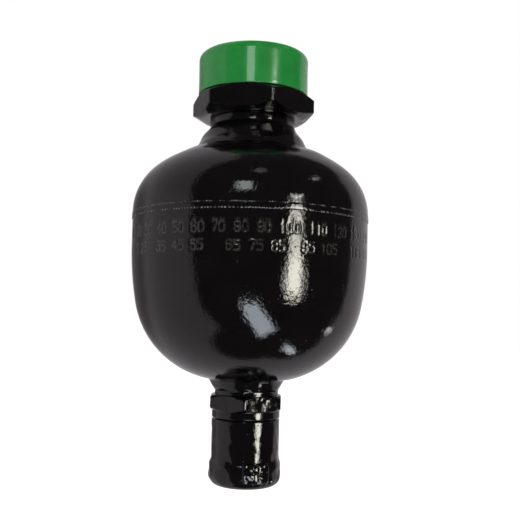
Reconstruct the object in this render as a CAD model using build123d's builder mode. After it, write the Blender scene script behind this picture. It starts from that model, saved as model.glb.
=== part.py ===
from build123d import *
from math import acos, asin, cos, degrees, radians, sin, sqrt, tan
import os

# Small welded bladder accumulator, fluid port up and gas valve down.
# Millimetres. +Z runs along the axis towards the fluid port, -Y is the front.
# The origin is on the axis, in the middle of the straight belt that a clamp grips.

os.makedirs("parts", exist_ok=True)

# ---------------------------------------------------------------- driving sizes
# shell
shell_radius = 54.0
shell_wall = 5.0
belt_length = 13.0
weld_width = 3.2
weld_crown = 0.3
upper_straight = 0.3
upper_knuckle_radius = 26.0
upper_knuckle_angle = 51.0
crown_radius = 50.0
barrel_radius = 138.0
barrel_angle = 10.4
lower_knuckle_radius = 42.0

# neck of the short cup
flare_radius = 26.9
neck_radius = 19.5
flare_height = 11.3
neck_height = 3.6
neck_fillet_radius = 2.5

# neck of the long cup
lower_flare_radius = 17.5
lower_neck_radius = 14.6
lower_flare_height = 5.0
lower_neck_height = 2.0
lower_neck_fillet_radius = 1.25

# fluid port
port_hex_flats = 50.0
port_hex_height = 11.8
port_hex_inset = 1.6
port_hex_turn = -72.0
stub_radius = 22.5
stub_height = 16.0
stub_relief_depth = 1.7
stub_relief_height = 2.5
shank_radius = 15.0
shank_reach = 20.2
port_thread_radius = 12.06
port_thread_depth = 16.0
chamber_radius = 10.5
throat_radius = 9.3
throat_length = 12.0
seat_width = 2.0

# poppet valve
poppet_travel = 6.0
poppet_head_radius = 13.0
poppet_rim_height = 2.0
poppet_crown = 1.6
poppet_neck_radius = 8.0
poppet_stem_radius = 3.0
guide_height = 6.0
guide_hub_radius = 5.0
guide_hole_radius = 1.5
guide_hole_count = 6
retaining_ring_height = 1.0
retaining_ring_width = 2.2
retaining_groove_depth = 0.7
retaining_ring_gap = 5.0
stop_nut_flats = 10.0
stop_nut_height = 4.0
stem_overhang = 1.0
poppet_wire_radius = 0.6
poppet_coil_radius = 6.2
poppet_spring_turns = 5.0

# bladder
bladder_wall = 2.0
bladder_gap = 2.0
bladder_straight = 1.5
bladder_knuckle_radius = 18.0

# gas valve stem
stem_radius = 11.0
stem_foot_radius = 16.0
stem_foot_height = 4.0
foot_seat_step = 0.3
stem_thread_length = 32.0
valve_tip_radius = 6.0
valve_tip_length = 11.0
gas_bore_radius = 2.0
core_bore_radius = 3.3

# lock nut on the gas stem
lock_hex_flats = 32.0
lock_hex_height = 6.8
lock_hex_turn = -92.0
collar_radius = 15.6
collar_height = 3.6

# guard cap
sleeve_radius = 15.6
sleeve_length = 17.3
rim_radius = 16.55
rim_flare_height = 4.2
guard_length = 30.3
guard_edge_radius = 4.6
guard_end_wall = 4.0
guard_thread_length = 10.0
guard_cavity_radius = 12.0
guard_joint_gap = 0.6
pad_height = 8.5
pad_width = 5.2
pad_stand = 0.45
pad_corner_radius = 1.2
pad_angles = (-83.0, -59.0)
pad_drop = 1.2

# valve core and its small cap
core_radius = 3.2
core_length = 11.0
core_recess = 1.0
core_land_length = 2.5
core_spring_bore_radius = 1.5
core_guide_radius = 0.95
pin_radius = 0.8
pin_head_radius = 1.9
pin_head_height = 1.0
pin_collar_radius = 1.35
pin_collar_height = 0.8
pin_collar_inset = 1.5
pin_recess = 0.2
pin_travel = 1.2
pin_headroom = 1.6
core_seal_height = 1.2
core_wire_radius = 0.12
core_coil_radius = 1.2
core_spring_turns = 6.0
core_ring_radius = 0.48
core_ring_inset = 2.6
seal_cap_radius = 8.0
seal_cap_length = 13.0
seal_cap_flats = 14.0
seal_cap_hex_height = 5.0
gasket_height = 1.2

# green thread protector
cap_wall = 2.65
cap_height = 18.65
cap_top_wall = 2.2
cap_edge_radius = 3.1

# seals
port_gland_chamfer = 2.2
stem_gland_chamfer = 1.6
guard_ring_radius = 0.8

# clearances
thread_clearance = 0.05
running_clearance = 0.05
seat_clearance = 0.05
push_on_clearance = 0.15
guard_thread_clearance = 0.15
neck_clearance = 0.3
ring_clearance = 0.05
bladder_poppet_gap = 0.5
edge_chamfer = 1.0
hex_chamfer_angle = 30.0
hex_sides = 6

# ---------------------------------------------------------------- levels along Z
belt_low = -belt_length / 2
weld_low = belt_length / 2
weld_high = weld_low + weld_width
shell_inner_radius = shell_radius - shell_wall

# The short cup: straight, a knuckle arc, then a flatter crown arc in line with it.
knuckle_level = weld_high + upper_straight
knuckle_centre_r = shell_radius - upper_knuckle_radius
crown_centre_r = knuckle_centre_r - (crown_radius - upper_knuckle_radius) * cos(radians(upper_knuckle_angle))
crown_level = knuckle_level - (crown_radius - upper_knuckle_radius) * sin(radians(upper_knuckle_angle))

# The long cup: straight, a barrel arc, then one large arc down to its neck.
barrel_centre_r = shell_radius - barrel_radius
bottom_centre_r = barrel_centre_r + (barrel_radius - lower_knuckle_radius) * cos(radians(barrel_angle))
bottom_level = belt_low - (barrel_radius - lower_knuckle_radius) * sin(radians(barrel_angle))


def crown_height(radius, inset=0.0):
    """Level of the short cup's crown at a radius, inset from the outside by a wall."""
    return crown_level + sqrt((crown_radius - inset) ** 2 - (radius - crown_centre_r) ** 2)


def bottom_height(radius, inset=0.0):
    """Level of the long cup's bottom arc at a radius, inset from the outside by a wall."""
    return bottom_level - sqrt((lower_knuckle_radius - inset) ** 2 - (radius - bottom_centre_r) ** 2)


def bottom_sweep(radius, inset=0.0):
    """Angle below level, in degrees, at which the bottom arc reaches a radius."""
    return degrees(acos((radius - bottom_centre_r) / (lower_knuckle_radius - inset)))


def crown_sweep(radius, inset=0.0):
    """Angle above level, in degrees, at which the crown reaches a radius."""
    return degrees(acos((radius - crown_centre_r) / (crown_radius - inset)))


flare_level = crown_height(flare_radius)
neck_level = flare_level + flare_height
port_face = neck_level + neck_height
hex_top = port_face + port_hex_height
stub_top = hex_top + stub_height
shank_end = port_face - shank_reach
thread_end = stub_top - port_thread_depth
guide_bottom = shank_end + throat_length
guide_top = guide_bottom + guide_height
ring_top = guide_top + retaining_ring_height

# The poppet's cone is parallel to its seat and meets it after the travel.
cone_rise = poppet_head_radius - poppet_neck_radius
cone_apex = shank_end + throat_radius + seat_width
closed_neck_level = cone_apex - poppet_neck_radius - seat_clearance * sqrt(2)
poppet_neck_level = closed_neck_level - poppet_travel
poppet_rim_level = poppet_neck_level - cone_rise
poppet_face_level = poppet_rim_level - poppet_rim_height
poppet_bottom = poppet_face_level - poppet_crown
stem_end = guide_top + stop_nut_height + stem_overhang

lower_flare_level = bottom_height(lower_flare_radius)
lower_neck_level = lower_flare_level - lower_flare_height
lock_face = lower_neck_level - lower_neck_height
foot_seat = bottom_height(stem_foot_radius, shell_wall) + foot_seat_step
foot_top = foot_seat + stem_foot_height
stem_thread_end = foot_seat - stem_thread_length
valve_tip_end = stem_thread_end - valve_tip_length
lock_hex_bottom = lock_face - lock_hex_height
collar_bottom = lock_hex_bottom - collar_height
guard_mouth = collar_bottom - guard_joint_gap
guard_bottom = guard_mouth - guard_length
rim_flare_top = guard_mouth - sleeve_length
rim_flare_bottom = rim_flare_top - rim_flare_height

core_bottom = valve_tip_end + core_recess
core_top = core_bottom + core_length
core_ledge_bottom = core_top - core_land_length
pin_collar_low = core_bottom + pin_collar_inset
pin_collar_top = pin_collar_low + pin_collar_height
pin_head_low = core_top + core_seal_height
pin_head_top = pin_head_low + pin_head_height
core_ledge = pin_head_top + pin_travel + pin_headroom
gasket_bottom = valve_tip_end - gasket_height
seal_cap_top = stem_thread_end - edge_chamfer
seal_cap_bottom = seal_cap_top - seal_cap_length

bladder_inset = shell_wall + bladder_gap
bladder_radius = shell_radius - bladder_inset
bladder_equator = belt_low + bladder_straight
bladder_top = poppet_bottom - bladder_poppet_gap
bladder_dome = bladder_top - bladder_equator

# The bladder's end is a knuckle arc and a crown arc that meet in line, like a dished end.
bladder_knuckle_r = bladder_radius - bladder_knuckle_radius
bladder_crown_radius = (bladder_knuckle_r**2 + bladder_dome**2 - bladder_knuckle_radius**2) / (
    2 * (bladder_dome - bladder_knuckle_radius)
)
bladder_crown_level = bladder_top - bladder_crown_radius
bladder_tilt = degrees(asin(bladder_knuckle_r / (bladder_crown_radius - bladder_knuckle_radius)))


# ---------------------------------------------------------------- shared features
def hexagon(across_flats, bottom, height, turn, inset=0.0):
    """Hexagon prism, corners turned back to a cone at both ends, and further in at the bottom by inset."""
    with BuildSketch(Plane.XY.offset(bottom)) as outline:
        RegularPolygon(across_flats / 2, hex_sides, major_radius=False, rotation=turn)
    extrude(outline.sketch, amount=height)
    flat = across_flats / 2
    corner = flat / cos(radians(180 / hex_sides)) + edge_chamfer
    top_drop = (corner - flat) * tan(radians(hex_chamfer_angle))
    bottom_drop = (corner - flat + inset) * tan(radians(hex_chamfer_angle))
    with BuildSketch(Plane.XZ) as envelope:
        with BuildLine():
            Polyline(
                (0, bottom),
                (flat - inset, bottom),
                (corner, bottom + bottom_drop),
                (corner, bottom + height - top_drop),
                (flat, bottom + height),
                (0, bottom + height),
                close=True,
            )
        make_face()
    revolve(envelope.sketch, axis=Axis.Z, mode=Mode.INTERSECT)


def turned(*points, mode=Mode.ADD):
    """Revolve a closed outline of (radius, level) points about the axis."""
    with BuildSketch(Plane.XZ) as outline:
        with BuildLine():
            Polyline(*points, close=True)
        make_face()
    revolve(outline.sketch, axis=Axis.Z, mode=mode)


def o_ring(centre_radius, level, section_radius):
    """Round-section ring about the axis."""
    with BuildPart() as ring:
        with BuildSketch(Plane.XZ):
            with Locations((centre_radius, level)):
                Circle(section_radius)
        revolve(axis=Axis.Z)
    return ring


def coil(coil_radius, wire_radius, low, high, turns):
    """Compression spring whose end turns touch the levels low and high."""
    height = high - low - 2 * wire_radius
    with BuildPart() as spring:
        with BuildLine() as route:
            Helix(pitch=height / turns, height=height, radius=coil_radius, center=(0, 0, low + wire_radius))
        with BuildSketch(Plane(origin=route.line @ 0, z_dir=route.line % 0)):
            Circle(wire_radius)
        sweep(path=route.line, is_frenet=True)
    return spring


def gland_ring_radius(chamfer_size, bore_gap):
    """Section radius of a ring held between a shaft, a flat face and a 45 degree chamfer."""
    return (chamfer_size + bore_gap) / (2 + sqrt(2)) - ring_clearance / 2


def save(piece, name):
    """Label a finished piece and write it as its own STEP file."""
    piece.part.label = name
    export_step(piece.part, f"parts/{name}.step")


# ---------------------------------------------------------------- shell
neck_bore_radius = shank_radius + thread_clearance
inner_crown_sweep = crown_sweep(neck_bore_radius, shell_wall)
outer_crown_sweep = crown_sweep(flare_radius)
crown_start = upper_knuckle_angle
upper_knuckle_centre = (knuckle_centre_r, knuckle_level)
crown_centre = (crown_centre_r, crown_level)
inner_knuckle_radius = upper_knuckle_radius - shell_wall

with BuildPart() as upper_shell:
    with BuildSketch(Plane.XZ):
        with BuildLine():
            Line((shell_inner_radius, weld_high), (shell_radius, weld_high))
            Line((shell_radius, weld_high), (shell_radius, knuckle_level))
            CenterArc(upper_knuckle_centre, upper_knuckle_radius, 0, crown_start)
            CenterArc(crown_centre, crown_radius, crown_start, outer_crown_sweep - crown_start)
            Polyline(
                (flare_radius, flare_level),
                (neck_radius, neck_level),
                (neck_radius, port_face),
                (neck_bore_radius + port_gland_chamfer, port_face),
                (neck_bore_radius, port_face - port_gland_chamfer),
                (neck_bore_radius, crown_height(neck_bore_radius, shell_wall)),
            )
            CenterArc(
                crown_centre, crown_radius - shell_wall, inner_crown_sweep, crown_start - inner_crown_sweep
            )
            CenterArc(upper_knuckle_centre, inner_knuckle_radius, crown_start, -crown_start)
            Line((shell_inner_radius, knuckle_level), (shell_inner_radius, weld_high))
        make_face()
    revolve(axis=Axis.Z)
    neck_corner = upper_shell.edges().filter_by(GeomType.CIRCLE).sort_by(
        lambda edge: abs(edge.radius - flare_radius) + abs(edge.center().Z - flare_level)
    )[0]
    fillet(neck_corner, radius=neck_fillet_radius)
save(upper_shell, "upper_shell")

with BuildPart() as weld_seam:
    weld_middle = (weld_low + weld_high) / 2
    with BuildSketch(Plane.XZ):
        with BuildLine():
            Line((shell_inner_radius, weld_low), (shell_radius, weld_low))
            ThreePointArc(
                (shell_radius, weld_low), (shell_radius + weld_crown, weld_middle), (shell_radius, weld_high)
            )
            Line((shell_radius, weld_high), (shell_inner_radius, weld_high))
            ThreePointArc(
                (shell_inner_radius, weld_high),
                (shell_inner_radius - weld_crown, weld_middle),
                (shell_inner_radius, weld_low),
            )
        make_face()
    revolve(axis=Axis.Z)
save(weld_seam, "weld_seam")

stem_bore_radius = stem_radius + neck_clearance
seat_reach = bottom_centre_r + sqrt(
    (lower_knuckle_radius - shell_wall) ** 2 - (bottom_level - foot_seat) ** 2
)
barrel_centre = (barrel_centre_r, belt_low)
bottom_centre = (bottom_centre_r, bottom_level)

with BuildPart() as lower_shell:
    with BuildSketch(Plane.XZ):
        with BuildLine():
            Line((shell_inner_radius, weld_low), (shell_radius, weld_low))
            Line((shell_radius, weld_low), (shell_radius, belt_low))
            CenterArc(barrel_centre, barrel_radius, 0, -barrel_angle)
            CenterArc(
                bottom_centre,
                lower_knuckle_radius,
                -barrel_angle,
                barrel_angle - bottom_sweep(lower_flare_radius),
            )
            Polyline(
                (lower_flare_radius, lower_flare_level),
                (lower_neck_radius, lower_neck_level),
                (lower_neck_radius, lock_face),
                (stem_bore_radius + stem_gland_chamfer, lock_face),
                (stem_bore_radius, lock_face + stem_gland_chamfer),
                (stem_bore_radius, foot_seat),
                (seat_reach, foot_seat),
            )
            CenterArc(
                bottom_centre,
                lower_knuckle_radius - shell_wall,
                -bottom_sweep(seat_reach, shell_wall),
                bottom_sweep(seat_reach, shell_wall) - barrel_angle,
            )
            CenterArc(barrel_centre, barrel_radius - shell_wall, -barrel_angle, barrel_angle)
            Line((shell_inner_radius, belt_low), (shell_inner_radius, weld_low))
        make_face()
    revolve(axis=Axis.Z)
    bottom_corner = lower_shell.edges().filter_by(GeomType.CIRCLE).sort_by(
        lambda edge: abs(edge.radius - lower_flare_radius) + abs(edge.center().Z - lower_flare_level)
    )[0]
    fillet(bottom_corner, radius=lower_neck_fillet_radius)
save(lower_shell, "lower_shell")

# ---------------------------------------------------------------- fluid port
shank_mouth = throat_radius + seat_width
groove_radius = chamber_radius + retaining_groove_depth
stub_relief_radius = stub_radius - stub_relief_depth

with BuildPart() as port_body:
    hexagon(port_hex_flats, port_face, port_hex_height, port_hex_turn, port_hex_inset)
    turned(
        (0, shank_end),
        (shank_radius - edge_chamfer, shank_end),
        (shank_radius, shank_end + edge_chamfer),
        (shank_radius, port_face),
        (0, port_face),
    )
    turned(
        (0, hex_top),
        (stub_relief_radius, hex_top),
        (stub_relief_radius, hex_top + stub_relief_height),
        (stub_radius, hex_top + stub_relief_height + stub_relief_depth),
        (stub_radius, stub_top - edge_chamfer),
        (stub_radius - edge_chamfer, stub_top),
        (0, stub_top),
    )
    turned(
        (0, shank_end),
        (shank_mouth, shank_end),
        (throat_radius, shank_end + seat_width),
        (throat_radius, guide_bottom),
        (chamber_radius, guide_bottom),
        (chamber_radius, guide_top),
        (groove_radius, guide_top),
        (groove_radius, ring_top + ring_clearance),
        (chamber_radius, ring_top + ring_clearance),
        (chamber_radius, thread_end - (port_thread_radius - chamber_radius)),
        (port_thread_radius, thread_end),
        (port_thread_radius, stub_top - edge_chamfer),
        (port_thread_radius + edge_chamfer, stub_top),
        (0, stub_top),
        mode=Mode.SUBTRACT,
    )
save(port_body, "port_body")

port_ring_radius = gland_ring_radius(port_gland_chamfer, thread_clearance)
port_o_ring = o_ring(
    shank_radius + port_ring_radius + ring_clearance / 2,
    port_face - port_ring_radius - ring_clearance / 2,
    port_ring_radius,
)
save(port_o_ring, "port_o_ring")

# ---------------------------------------------------------------- poppet valve
hub_bore_radius = poppet_stem_radius + running_clearance
hole_circle_radius = (guide_hub_radius + chamber_radius) / 2

with BuildPart() as poppet_guide:
    turned(
        (hub_bore_radius, guide_bottom),
        (chamber_radius - thread_clearance, guide_bottom),
        (chamber_radius - thread_clearance, guide_top),
        (hub_bore_radius, guide_top),
    )
    with Locations(Plane.XY.offset(guide_top)):
        with PolarLocations(hole_circle_radius, guide_hole_count):
            Hole(guide_hole_radius)
save(poppet_guide, "poppet_guide")

with BuildPart() as guide_retaining_ring:
    ring_outer = groove_radius - ring_clearance
    with BuildSketch(Plane.XY.offset(guide_top)):
        Circle(ring_outer)
        Circle(ring_outer - retaining_ring_width, mode=Mode.SUBTRACT)
        with Locations((ring_outer, 0)):
            Rectangle(2 * retaining_ring_width + ring_outer, retaining_ring_gap, mode=Mode.SUBTRACT)
    extrude(amount=retaining_ring_height)
save(guide_retaining_ring, "guide_retaining_ring")

with BuildPart() as poppet:
    with BuildSketch(Plane.XZ):
        with BuildLine():
            Polyline(
                (0, poppet_bottom),
                (0, stem_end),
                (poppet_stem_radius, stem_end),
                (poppet_stem_radius, poppet_neck_level),
                (poppet_neck_radius, poppet_neck_level),
                (poppet_head_radius, poppet_rim_level),
                (poppet_head_radius, poppet_face_level),
            )
            face_radius = (poppet_head_radius**2 + poppet_crown**2) / (2 * poppet_crown)
            RadiusArc((poppet_head_radius, poppet_face_level), (0, poppet_bottom), face_radius)
        make_face()
    revolve(axis=Axis.Z)
save(poppet, "poppet")

with BuildPart() as poppet_stop_nut:
    hexagon(stop_nut_flats, guide_top, stop_nut_height, 0.0)
    with Locations(Plane.XY.offset(guide_top + stop_nut_height)):
        Hole(poppet_stem_radius + thread_clearance)
save(poppet_stop_nut, "poppet_stop_nut")

poppet_spring = coil(
    poppet_coil_radius, poppet_wire_radius, poppet_neck_level, guide_bottom, poppet_spring_turns
)
save(poppet_spring, "poppet_spring")

# ---------------------------------------------------------------- bladder
foot_edge = stem_foot_radius + ring_clearance
inner_inset = bladder_inset + bladder_wall
bladder_inner_radius = bladder_radius - bladder_wall
knuckle_centre = (bladder_knuckle_r, bladder_equator)

with BuildPart() as bladder:
    with BuildSketch(Plane.XZ):
        with BuildLine():
            Line(
                (foot_edge, bottom_height(foot_edge, inner_inset)),
                (foot_edge, bottom_height(foot_edge, bladder_inset)),
            )
            CenterArc(
                bottom_centre,
                lower_knuckle_radius - bladder_inset,
                -bottom_sweep(foot_edge, bladder_inset),
                bottom_sweep(foot_edge, bladder_inset) - barrel_angle,
            )
            CenterArc(barrel_centre, barrel_radius - bladder_inset, -barrel_angle, barrel_angle)
            Line((bladder_radius, belt_low), (bladder_radius, bladder_equator))
            CenterArc(knuckle_centre, bladder_knuckle_radius, 0, 90 - bladder_tilt)
            CenterArc((0, bladder_crown_level), bladder_crown_radius, 90 - bladder_tilt, bladder_tilt)
            Line((0, bladder_top), (0, bladder_top - bladder_wall))
            CenterArc(
                (0, bladder_crown_level),
                bladder_crown_radius - bladder_wall,
                90 - bladder_tilt,
                bladder_tilt,
            )
            CenterArc(knuckle_centre, bladder_knuckle_radius - bladder_wall, 0, 90 - bladder_tilt)
            Line((bladder_inner_radius, bladder_equator), (bladder_inner_radius, belt_low))
            CenterArc(barrel_centre, barrel_radius - inner_inset, -barrel_angle, barrel_angle)
            CenterArc(
                bottom_centre,
                lower_knuckle_radius - inner_inset,
                -bottom_sweep(foot_edge, inner_inset),
                bottom_sweep(foot_edge, inner_inset) - barrel_angle,
            )
        make_face()
    revolve(axis=Axis.Z)
save(bladder, "bladder")

# ---------------------------------------------------------------- gas stem and lock nut
with BuildPart() as valve_stem:
    turned(
        (gas_bore_radius, foot_top),
        (stem_foot_radius, foot_top),
        (stem_foot_radius, foot_seat),
        (stem_radius, foot_seat),
        (stem_radius, stem_thread_end + edge_chamfer),
        (stem_radius - edge_chamfer, stem_thread_end),
        (valve_tip_radius, stem_thread_end),
        (valve_tip_radius, valve_tip_end),
        (core_bore_radius, valve_tip_end),
        (core_bore_radius, core_ledge),
        (gas_bore_radius, core_ledge),
    )
save(valve_stem, "valve_stem")

stem_ring_radius = gland_ring_radius(stem_gland_chamfer, neck_clearance)
stem_o_ring = o_ring(
    stem_radius + stem_ring_radius + ring_clearance / 2,
    lock_face + stem_ring_radius + ring_clearance / 2,
    stem_ring_radius,
)
save(stem_o_ring, "stem_o_ring")

nut_bore_radius = stem_radius + thread_clearance
guard_ring_centre = (stem_radius + collar_radius) / 2
guard_ring_level = guard_mouth + guard_ring_radius + ring_clearance / 2
groove_half_width = guard_ring_radius + ring_clearance
groove_top = guard_ring_level + guard_ring_radius + ring_clearance / 2

with BuildPart() as stem_lock_nut:
    hexagon(lock_hex_flats, lock_hex_bottom, lock_hex_height, lock_hex_turn)
    turned(
        (0, collar_bottom),
        (collar_radius, collar_bottom),
        (collar_radius, lock_hex_bottom),
        (0, lock_hex_bottom),
    )
    turned(
        (guard_ring_centre - groove_half_width, collar_bottom),
        (guard_ring_centre + groove_half_width, collar_bottom),
        (guard_ring_centre + groove_half_width, groove_top),
        (guard_ring_centre - groove_half_width, groove_top),
        mode=Mode.SUBTRACT,
    )
    with Locations(Plane.XY.offset(lock_face)):
        Hole(nut_bore_radius)
save(stem_lock_nut, "stem_lock_nut")

guard_cap_o_ring = o_ring(guard_ring_centre, guard_ring_level, guard_ring_radius)
save(guard_cap_o_ring, "guard_cap_o_ring")

# ---------------------------------------------------------------- guard cap
guard_thread_radius = stem_radius + guard_thread_clearance
guard_thread_end = guard_mouth - guard_thread_length
flare_middle = ((sleeve_radius + rim_radius) / 2, (rim_flare_top + rim_flare_bottom) / 2)
pad_level = rim_flare_top - pad_drop - pad_height / 2
pad_depth = rim_radius + pad_stand - guard_cavity_radius - guard_end_wall / 2

with BuildPart() as guard_cap:
    with BuildSketch(Plane.XZ):
        with BuildLine():
            Polyline(
                (0, guard_bottom + guard_end_wall),
                (guard_cavity_radius, guard_bottom + guard_end_wall),
                (guard_cavity_radius, guard_thread_end),
                (guard_thread_radius, guard_thread_end),
                (guard_thread_radius, guard_mouth),
                (sleeve_radius, guard_mouth),
                (sleeve_radius, rim_flare_top),
            )
            shoulder = TangentArc((sleeve_radius, rim_flare_top), flare_middle, tangent=(0, -1))
            TangentArc(flare_middle, (rim_radius, rim_flare_bottom), tangent=shoulder % 1)
            Line((rim_radius, rim_flare_bottom), (rim_radius, guard_bottom + guard_edge_radius))
            CenterArc(
                (rim_radius - guard_edge_radius, guard_bottom + guard_edge_radius),
                guard_edge_radius,
                0,
                -90,
            )
            Polyline(
                (rim_radius - guard_edge_radius, guard_bottom),
                (0, guard_bottom),
                (0, guard_bottom + guard_end_wall),
            )
        make_face()
    revolve(axis=Axis.Z)
    for angle in pad_angles:
        outward = Vector(cos(radians(angle)), sin(radians(angle)), 0)
        sideways = Vector(-sin(radians(angle)), cos(radians(angle)), 0)
        pad_origin = outward * (rim_radius + pad_stand) + Vector(0, 0, pad_level)
        with BuildSketch(Plane(origin=pad_origin, x_dir=sideways, z_dir=outward)):
            RectangleRounded(pad_width, pad_height, pad_corner_radius)
        extrude(amount=-pad_depth)
save(guard_cap, "guard_cap")

# ---------------------------------------------------------------- valve core
core_ring_centre = core_bore_radius - core_ring_radius - ring_clearance / 2
core_ring_level = core_top - core_ring_inset
core_groove_half = core_ring_radius + ring_clearance
core_groove_floor = core_ring_centre - core_ring_radius - ring_clearance / 2

with BuildPart() as valve_core_body:
    turned(
        (core_guide_radius, core_top),
        (core_radius, core_top),
        (core_radius, core_ring_level + core_groove_half),
        (core_groove_floor, core_ring_level + core_groove_half),
        (core_groove_floor, core_ring_level - core_groove_half),
        (core_radius, core_ring_level - core_groove_half),
        (core_radius, core_bottom),
        (core_spring_bore_radius, core_bottom),
        (core_spring_bore_radius, core_ledge_bottom),
        (core_guide_radius, core_ledge_bottom),
    )
save(valve_core_body, "valve_core_body")

valve_core_o_ring = o_ring(core_ring_centre, core_ring_level, core_ring_radius)
save(valve_core_o_ring, "valve_core_o_ring")

pin_end = valve_tip_end + pin_recess

with BuildPart() as valve_core_pin:
    turned(
        (0, pin_head_top),
        (pin_head_radius, pin_head_top),
        (pin_head_radius, pin_head_low),
        (pin_radius, pin_head_low),
        (pin_radius, pin_collar_top),
        (pin_collar_radius, pin_collar_top),
        (pin_collar_radius, pin_collar_low),
        (pin_radius, pin_collar_low),
        (pin_radius, pin_end),
        (0, pin_end),
    )
save(valve_core_pin, "valve_core_pin")

with BuildPart() as valve_core_seal:
    turned(
        (pin_radius + ring_clearance, core_top),
        (pin_head_radius, core_top),
        (pin_head_radius, pin_head_low),
        (pin_radius + ring_clearance, pin_head_low),
    )
save(valve_core_seal, "valve_core_seal")

valve_core_spring = coil(
    core_coil_radius, core_wire_radius, pin_collar_top, core_ledge_bottom, core_spring_turns
)
save(valve_core_spring, "valve_core_spring")

tip_bore_radius = valve_tip_radius + thread_clearance

with BuildPart() as valve_seal_cap:
    hexagon(seal_cap_flats, seal_cap_bottom, seal_cap_hex_height, 0.0)
    turned(
        (0, seal_cap_bottom + seal_cap_hex_height),
        (seal_cap_radius, seal_cap_bottom + seal_cap_hex_height),
        (seal_cap_radius, seal_cap_top),
        (0, seal_cap_top),
    )
    turned(
        (0, gasket_bottom),
        (tip_bore_radius, gasket_bottom),
        (tip_bore_radius, seal_cap_top),
        (0, seal_cap_top),
        mode=Mode.SUBTRACT,
    )
save(valve_seal_cap, "valve_seal_cap")

with BuildPart() as seal_cap_gasket:
    turned(
        (0, gasket_bottom),
        (valve_tip_radius, gasket_bottom),
        (valve_tip_radius, valve_tip_end),
        (0, valve_tip_end),
    )
save(seal_cap_gasket, "seal_cap_gasket")

# ---------------------------------------------------------------- green thread protector
cap_bore_radius = stub_radius + push_on_clearance
cap_radius = cap_bore_radius + cap_wall
cap_top = hex_top + cap_height
cap_ceiling = cap_top - cap_top_wall

with BuildPart() as thread_cap:
    with BuildSketch(Plane.XZ):
        with BuildLine():
            Polyline(
                (0, cap_ceiling),
                (cap_bore_radius, cap_ceiling),
                (cap_bore_radius, hex_top),
                (cap_radius, hex_top),
                (cap_radius, cap_top - cap_edge_radius),
            )
            CenterArc((cap_radius - cap_edge_radius, cap_top - cap_edge_radius), cap_edge_radius, 0, 90)
            Polyline((cap_radius - cap_edge_radius, cap_top), (0, cap_top), (0, cap_ceiling))
        make_face()
    revolve(axis=Axis.Z)
save(thread_cap, "thread_cap")
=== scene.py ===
"""Bladder accumulator: surfaces, finishes, light and camera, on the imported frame."""

import logging
from dataclasses import dataclass, field
from enum import Enum
from math import ceil, cos, pi, radians, sin, tan

import bmesh
import bpy
import numpy as np
from mathutils import Matrix, Vector


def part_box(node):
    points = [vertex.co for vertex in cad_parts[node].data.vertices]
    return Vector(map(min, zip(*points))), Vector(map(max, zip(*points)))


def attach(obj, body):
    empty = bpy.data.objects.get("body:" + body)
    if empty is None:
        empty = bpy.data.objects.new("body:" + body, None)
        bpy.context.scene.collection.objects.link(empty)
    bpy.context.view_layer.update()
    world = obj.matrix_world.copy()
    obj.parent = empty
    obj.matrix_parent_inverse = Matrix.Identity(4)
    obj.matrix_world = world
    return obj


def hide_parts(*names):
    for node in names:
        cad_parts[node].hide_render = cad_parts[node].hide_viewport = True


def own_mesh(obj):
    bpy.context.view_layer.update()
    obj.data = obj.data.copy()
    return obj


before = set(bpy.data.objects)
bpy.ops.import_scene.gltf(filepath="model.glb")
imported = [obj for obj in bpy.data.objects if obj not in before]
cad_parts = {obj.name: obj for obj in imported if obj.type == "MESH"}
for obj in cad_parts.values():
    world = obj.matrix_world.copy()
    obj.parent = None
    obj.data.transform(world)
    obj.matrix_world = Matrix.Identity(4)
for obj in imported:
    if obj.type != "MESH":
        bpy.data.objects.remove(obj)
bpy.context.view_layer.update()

Array = np.ndarray
Colour = tuple[float, float, float]
Socket = bpy.types.NodeSocket
Tree = bpy.types.NodeTree
Material = bpy.types.Material
Piece = bpy.types.Object

MM = 0.001
CONE = tan(radians(30))
SHARP_EDGE = radians(38)
ARC_CUT = radians(13)
LOG = logging.getLogger("accumulator")


class Body(Enum):
    """The bodies of the frame that pieces ride on."""

    VESSEL = "vessel"
    PORT_PROTECTOR = "port_protector"
    VALVE_GUARD = "valve_guard"


class Slot(Enum):
    """The record's finish slots, passed along with the new pieces."""

    BLACK_PAINT = "black_paint"
    GREEN_PLASTIC = "green_plastic"
    TURNED_STEEL = "turned_steel"


def ends(node: str) -> tuple[float, float]:
    """Lowest and highest level of a solid, in mm."""
    low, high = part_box(node)
    return low[2] / MM, high[2] / MM


# ---- turned surfaces
@dataclass(frozen=True)
class Corner:
    """One corner of a turned outline, in mm: rounded by soft, the run after it cut at every step."""

    radius: float
    level: float
    soft: float = 0.0
    step: float = 3.0


def arc(centre: tuple[float, float], radius: float, start: float, end: float, step: float) -> list[Corner]:
    """Corners along a circular arc: centre plus radius times (cos a, sin a).

    Args:
        centre: Radius and level of the arc's centre, in mm.
        radius: Arc radius, in mm.
        start: First angle, in degrees from outward.
        end: Last angle, in degrees.
        step: Spacing of the points, in mm.

    Returns:
        The corners, both ends included.
    """
    count = max(2, ceil(abs(radians(end - start)) * radius / step) + 1)
    sweep = np.radians(np.linspace(start, end, count))
    return [Corner(centre[0] + radius * cos(a), centre[1] + radius * sin(a)) for a in sweep]


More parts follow.
